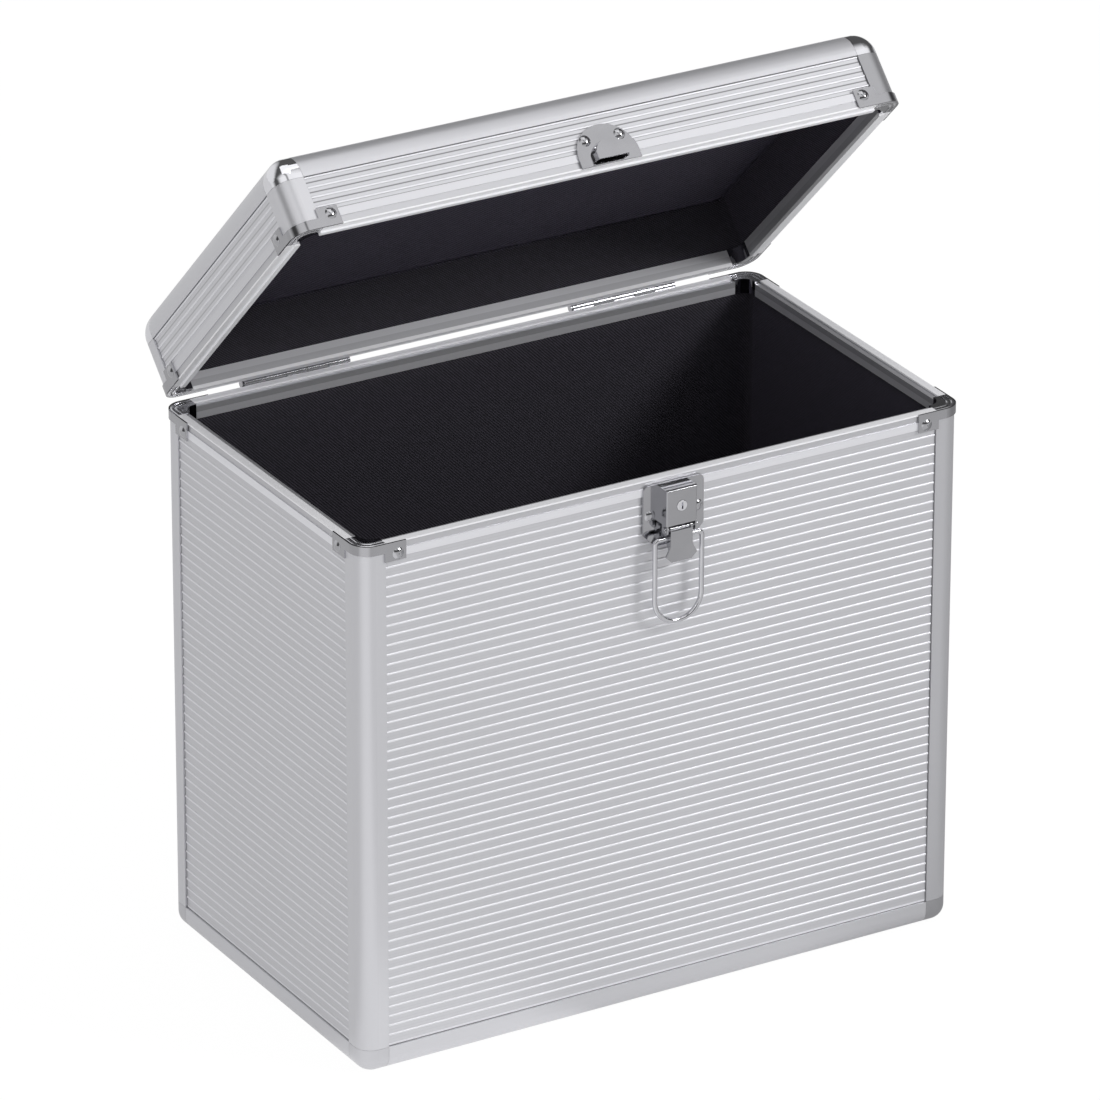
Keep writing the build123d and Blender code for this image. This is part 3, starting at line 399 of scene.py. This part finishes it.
def plywood():
    """Birch ply: rings of grain drawn out along X, with thin dark veneer lines."""
    sheet = Sheet("birch_ply")
    x, y, z = sheet.shut(False)
    at = sheet.node("ShaderNodeCombineXYZ", {}, x, y, z)
    grain = sheet.noise(at, 1.0, 4.0, (7.0, 160.0, 160.0))
    plies = ((z + y) / 0.0013).fraction().below(0.2)
    wood = sheet.mix(sheet.ease(grain, 0.3, 0.7), (0.62, 0.46, 0.28), (0.42, 0.27, 0.14))
    sheet.feed("Base Color", sheet.mix(plies * 0.35, wood, (0.22, 0.13, 0.07)))
    sheet.feed("Roughness", grain * 0.2 + 0.55)
    sheet.bump(grain, 0.0002, 0.4)
    return sheet.material


def moulded_grip():
    """Black moulded plastic with a fine pebble grain."""
    sheet = Sheet("moulded_grip", IOR=1.5)
    at = sheet.place()
    pebble = sheet.node("ShaderNodeTexVoronoi", {"feature": "SMOOTH_F1"}, at, Scale=1400.0)
    wear = sheet.ease(sheet.noise(at, 70.0, 4.0), 0.55, 0.75)
    sheet.feed("Base Color", sheet.mix(wear * 0.5, (0.016, 0.016, 0.018), (0.035, 0.035, 0.038)))
    sheet.feed("Roughness", wear * -0.12 + 0.48)
    sheet.bump(pebble, 0.00012, 0.6)
    return sheet.material


def twill():
    """Black woven lining: diagonal wales and the threads that cross them, on the cloth's UV map."""
    sheet = Sheet(
        "black_twill", Sheen_Weight=0.18, Sheen_Roughness=0.45, Sheen_Tint=(0.75, 0.68, 1.0, 1.0)
    )
    at = sheet.node("ShaderNodeUVMap", {"uv_map": "cloth"})
    parts = sheet.node("ShaderNodeSeparateXYZ", {}, at)
    across, along = parts.part("X"), parts.part("Y")
    wobble = (sheet.noise(at, 900.0, 2.0) - 0.5) * 0.0006
    wale = ((across + along + wobble) / 0.0017).fraction()
    hump = (wale - 0.5).abs() * -2.0 + 1.0
    thread = ((across - along + wobble) / 0.0011).fraction()
    cord = (thread - 0.5).abs() * -2.0 + 1.0
    fluff = sheet.noise(at, 260.0, 4.0)
    height = hump * 0.7 + cord * hump * 0.5
    tone = sheet.ease(height + fluff * 0.5, 0.25, 1.35)
    sheet.feed("Base Color", sheet.mix(tone, (0.005, 0.0045, 0.0075), (0.054, 0.048, 0.066)))
    sheet.feed("Roughness", fluff * 0.15 + 0.78)
    sheet.bump(height, 0.00035, 0.8)
    return sheet.material


sheet_edges = {"x": ("x", -post_high.x), "y": ("y", -post_high.y)}
above_base = ("z", -base_edge)
below_crown = ("z", lid_base + lid_height - crown_flange)
body_start = rim_z - first_rib
lid_start = lid_base + lid_first_rib
finishes = {
    "profile_x": extruded("satin_profile_across", "x"),
    "profile_y": extruded("satin_profile_deep", "y"),
    "post": extruded("satin_post", "z"),
    "rim_x": rim("rim_across", "x"),
    "rim_y": rim("rim_deep", "y"),
    "lid_profile_x": extruded("satin_lid_profile_across", "x", True),
    "lid_profile_y": extruded("satin_lid_profile_deep", "y", True),
    "lid_post": extruded("satin_lid_post", "z", True),
    "lid_rim_x": rim("lid_rim_across", "x", True),
    "lid_rim_y": rim("lid_rim_deep", "y", True),
    "ribs_x": ribbed("ribbed_sheet_long", "z", body_start, [sheet_edges["x"], above_base]),
    "ribs_y": ribbed("ribbed_sheet_short", "z", body_start, [sheet_edges["y"], above_base]),
    # The lid's sheets are copies with painted shade: long sides darker than short ones, and more
    # painted shade between the ribs.
    "lid_ribs_x": ribbed(
        "ribbed_lid_long", "z", lid_start, [sheet_edges["x"], below_crown], True, 0.66, 0.9
    ),
    "lid_ribs_y": ribbed(
        "ribbed_lid_short", "z", lid_start, [sheet_edges["y"], below_crown], True, 0.72, 0.4
    ),
    "lid_top_ribs": ribbed("ribbed_sheet_top", "y", 0.0, [], True, valley_shade=0.3),
    "bottom": extruded("bottom_plate_satin", "x", False, 0.62),
    "satin_cap": plated("satin_base_cap", 0.62, 0.30),
    "bright_cap": plated("bright_crown_cap", 0.86, 0.05),
    "nickel": plated("nickel_plate", 0.45, 0.10),
    "fitting": corner_fitting("nickel_fitting"),
    "lid_fitting": corner_fitting("nickel_lid_fitting", True),
    "rivet": plated("rivet_steel", 0.50, 0.10),
    "key": plated("key_plug_bright", 0.82, 0.12),
    "wire": plated("bail_wire", 0.64, 0.06),
    "bolt": plated("bolt_zinc", 0.60, 0.32),
    "wood": plywood(),
    "grip": moulded_grip(),
    "cloth": twill(),
}


def finish_of(name):
    """The finish that a piece gets, by the name of its node."""
    lid = name.startswith(("lid_", "crown_"))
    if name.endswith("_board") or "boards" in name:
        return "wood"
    if name == "bottom_sheet":
        return "bottom"
    if name == "lid_top_sheet":
        return "lid_top_ribs"
    if name.endswith("_sheet"):
        axis = "x" if "front" in name or "back" in name else "y"
        return ("lid_ribs_" if lid else "ribs_") + axis
    if "rivets" in name or "pin" in name.split("_")[-1]:
        return "rivet"
    if name == "crown_corner_caps":
        return "bright_cap"
    if name == "base_corner_caps":
        return "satin_cap"
    if "post" in name:
        return "lid_post" if lid else "post"
    if "profiles" in name:
        axis = "x" if name.endswith("long") else "y"
        kind = "rim_" if "rim_" in name else "profile_"
        return ("lid_" if lid else "") + kind + axis
    if name == "carrying_handle":
        return "grip"
    if name == "latch_bail":
        return "wire"
    if name.endswith("corner_fittings"):
        return "lid_fitting" if lid else "fitting"
    if name == "key_plug":
        return "key"
    if name == "lock_bolt":
        return "bolt"
    if "lining" in name:
        return "cloth"
    return "nickel"


for name, piece in nodes.items():
    for slot in piece.material_slots:
        slot.link = "OBJECT"
        slot.material = finishes[finish_of(name)]


# Cloth linings
CLOTH_T = 0.6 * MM
lining_low, lining_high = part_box("wall_lining")
floor_low, floor_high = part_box("floor_lining")


def cloth_piece(name, body, places, rows, columns, flat, around, stands_for):
    """Cloth from a grid of points, with a UV map in metres and a thickness to both sides.

    places is (rows * columns, 3). Where around is true, the last column joins the first.
    """
    mesh = bpy.data.meshes.new(name)
    row, column = np.meshgrid(np.arange(rows - 1), np.arange(columns if around else columns - 1))
    row, column = row.ravel(), column.ravel()
    after = (column + 1) % columns
    corners = np.stack([
        row * columns + column, row * columns + after,
        (row + 1) * columns + after, (row + 1) * columns + column,
    ], axis=1)
    mesh.from_pydata(places.tolist(), [], corners.tolist())
    across = np.stack([column, column + 1, column + 1, column], axis=1) / (
        columns if around else columns - 1
    )
    along = np.stack([row, row, row + 1, row + 1], axis=1) / (rows - 1)
    uv = mesh.uv_layers.new(name="cloth")
    pairs = np.stack([across * flat[0], along * flat[1]], axis=2)
    uv.data.foreach_set("uv", pairs.astype(np.float32).ravel())
    mesh.polygons.foreach_set("use_smooth", np.ones(len(corners), bool))
    mesh.materials.append(finishes["cloth"])
    piece = bpy.data.objects.new(name, mesh)
    bpy.context.scene.collection.objects.link(piece)
    wall = piece.modifiers.new("thickness", "SOLIDIFY")
    wall.thickness = CLOTH_T
    wall.offset = 0.0
    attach(piece, body)
    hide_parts(stands_for)
    return piece


def cloth_band(name, body, half_x, half_y, low, high, turn, stands_for):
    """A band round the inside of the walls: a rounded rectangle, carried straight up.

    A point at angle a of a corner is the corner's centre plus radius times (cos a, sin a), and
    the sides join the corners. The faces of the band look inwards.
    """
    radius = 1.7 * MM
    quarter = np.linspace(0, math.pi / 2, 7)
    loop = []
    for k, (sx, sy) in enumerate(((1, 1), (-1, 1), (-1, -1), (1, -1))):
        angle = quarter + k * math.pi / 2
        loop.append(np.stack([
            sx * (half_x - radius) + radius * np.cos(angle),
            sy * (half_y - radius) + radius * np.sin(angle),
        ], axis=1))
    loop = np.concatenate(loop)
    ends = np.roll(loop, -1, axis=0)
    step = np.linalg.norm(ends - loop, axis=1)
    travel = np.concatenate([[0], np.cumsum(step)])
    columns, rows = 240, 24
    at = np.linspace(0, travel[-1], columns, endpoint=False)
    closed_loop = np.vstack([loop, loop[:1]])
    x = np.interp(at, travel, closed_loop[:, 0])
    y = np.interp(at, travel, closed_loop[:, 1])
    z = np.linspace(low, high, rows)
    pull = 0.10 * MM * np.sin(at * 61.0)[None, :] * np.sin(z * 47.0)[:, None]
    inward = np.stack([-x / half_x, -y / half_y], axis=1)
    places = np.zeros((rows, columns, 3))
    places[..., 0] = x + inward[:, 0] * (pull + 0.10 * MM)
    places[..., 1] = y + inward[:, 1] * (pull + 0.10 * MM)
    places[..., 2] = z[:, None]
    places = places.reshape(-1, 3)
    if turn:
        places = opened(places)
    order = places.reshape(rows, columns, 3)[:, ::-1].reshape(-1, 3)
    flat = (float(travel[-1]), float(high - low))
    return cloth_piece(name, body, order, rows, columns, flat, True, stands_for)


def cloth_panel(name, body, half_x, half_y, level, facing, turn, stands_for):
    """A flat panel of cloth, with a pull of a tenth of a millimetre over its middle."""
    rows, columns = 40, 64
    x = np.linspace(-half_x, half_x, columns)[None, :].repeat(rows, 0) * facing
    y = np.linspace(-half_y, half_y, rows)[:, None].repeat(columns, 1)
    pull = 0.10 * MM * np.sin(x * 71.0) * np.sin(y * 83.0)
    places = np.stack([x, y, level + pull], axis=2).reshape(-1, 3)
    if turn:
        places = opened(places)
    flat = (2 * half_x, 2 * half_y)
    return cloth_piece(name, body, places, rows, columns, flat, False, stands_for)


half_x = lining_high.x - 0.45 * MM
half_y = lining_high.y - 0.45 * MM
cloth_band(
    "body_wall_cloth", "body", half_x, half_y, lining_low.z + 0.1 * MM, lining_high.z - 0.1 * MM,
    False, "wall_lining",
)
cloth_panel(
    "body_floor_cloth", "body", floor_high.x - 0.2 * MM, floor_high.y - 0.2 * MM,
    (floor_low.z + floor_high.z) / 2, 1, False, "floor_lining",
)
lid_points = closed([list(v.co) for v in nodes["lid_lining"].data.vertices])
lid_low, lid_high = lid_points[:, 2].min(), lid_points[:, 2].max()
cloth_band(
    "lid_wall_cloth", "lid", half_x, half_y, lid_low + 0.1 * MM, lid_high - 0.8 * MM,
    True, "lid_lining",
)
cloth_panel(
    "lid_top_cloth", "lid", half_x, half_y, lid_high - 0.42 * MM, -1,
    True, "lid_lining",
)


# Floor, light and background
def pale_floor():
    """A wide white floor: seen plain white, with the case's soft shadow kept on it; to reflections
    in the metal it glows as painted light, brighter toward the front left and darker to the right.
    """
    mesh = bpy.data.meshes.new("studio_floor")
    reach = 3.0
    mesh.from_pydata(
        [(-reach, -reach, 0), (reach, -reach, 0), (reach, reach, 0), (-reach, reach, 0)],
        [], [(0, 1, 2, 3)],
    )
    floor = bpy.data.objects.new("studio_floor", mesh)
    bpy.context.scene.collection.objects.link(floor)
    sheet = Sheet("studio_floor_white", Base_Color=(0.90, 0.90, 0.90, 1.0), Roughness=0.9)
    light = sheet.node("ShaderNodeLightPath", {})
    seen = light.part("Is Camera Ray").at_least(light.part("Is Glossy Ray"))
    seen = seen.at_least(light.part("Is Transmission Ray"))
    parts = sheet.node("ShaderNodeSeparateXYZ", {}, sheet.place())
    x, y = parts.part("X"), parts.part("Y")
    reach = (x * x + y * y + 0.0001) ** 0.5
    x, y = x / reach, y / reach
    camera = light.part("Is Camera Ray").at_least(light.part("Is Transmission Ray"))
    # Painted reflection: to glossy rays the floor glows at 0.66, brighter toward the front left and
    # darker to the right, and the metal mirrors this.
    front = sheet.ease(x * 0.50 - y * 0.866, 0.30, 0.85)
    near = sheet.ease(x * -0.72 - y * 0.69, 0.86, 0.99)
    right = sheet.ease(x, 0.55, 0.95)
    painted_reflection_glow = 0.66 + front * 0.03 + near * 0.34 - right * 0.34
    level = camera + (1.0 - camera) * painted_reflection_glow
    glow = sheet.node("ShaderNodeEmission", {}, (1.0, 1.0, 1.0, 1.0), level * 1.03)
    own = Socket(sheet, sheet.shader.outputs[0])
    mixed = sheet.node("ShaderNodeMixShader", {}, seen * 0.94, own, glow)
    sheet.tree.links.new(mixed.link, sheet.tree.nodes["Material Output"].inputs["Surface"])
    mesh.materials.append(sheet.material)


def studio_world():
    """White to the camera; metal sees a bright ceiling and front with dark gaps between them."""
    world = bpy.data.worlds.new("studio")
    world.use_nodes = True
    bpy.context.scene.world = world
    sheet = Sheet.__new__(Sheet)
    sheet.tree = world.node_tree
    for old in list(sheet.tree.nodes):
        sheet.tree.nodes.remove(old)
    light = sheet.node("ShaderNodeLightPath", {})
    at = sheet.node("ShaderNodeTexCoord", {}).part("Generated")
    parts = sheet.node("ShaderNodeSeparateXYZ", {}, at)
    x, y, z = (parts.part(axis) for axis in "XYZ")
    ceiling = sheet.ease(y, 0.25, -0.38) * sheet.ease(z, 0.42, 0.66)
    gap = sheet.ease((x + y * 0.35 + 0.24).abs(), 0.17, 0.02) * ceiling
    below = sheet.ease(z, 0.02, -0.04)
    front = sheet.ease(x * 0.50 - y * 0.83, 0.10, 0.40) * sheet.ease(z, 0.25, 0.02)
    left = sheet.ease(y * 0.86 - x * 0.50, 0.60, 0.85)
    bright = ceiling.at_least(front * 0.7).at_least(below * 0.7).at_least(left * 0.8)
    bright = bright - gap * 0.70
    seen_by_metal = bright * 0.90 + 0.09
    camera = light.part("Is Camera Ray").at_least(light.part("Is Transmission Ray"))
    glossy = light.part("Is Glossy Ray")
    soft = 0.50
    level = camera + (1.0 - camera) * (glossy * seen_by_metal + (1.0 - glossy) * soft)
    back = sheet.node("ShaderNodeBackground", {}, (1.0, 1.0, 1.0, 1.0), level)
    out = sheet.tree.nodes.new("ShaderNodeOutputWorld")
    sheet.tree.links.new(back.link, out.inputs["Surface"])


def soft_box(name, place, aim, size, power):
    """A square area lamp, turned to a point."""
    lamp = bpy.data.lights.new(name, "AREA")
    lamp.size = size
    lamp.energy = power
    box = bpy.data.objects.new(name, lamp)
    bpy.context.scene.collection.objects.link(box)
    box.location = place
    box.rotation_euler = (Vector(aim) - Vector(place)).to_track_quat("-Z", "Y").to_euler()


pale_floor()
studio_world()
soft_box("key_box", (1.5, -1.7, 1.6), (0, 0, 0.2), 0.6, 24.0)
soft_box("fill_box", (-2.0, -1.2, 1.0), (0, 0, 0.2), 1.6, 6.0)
soft_box("top_box", (0.1, 0.3, 2.4), (0, 0, 0.2), 1.6, 8.0)
bpy.context.scene.view_settings.view_transform = "Standard"
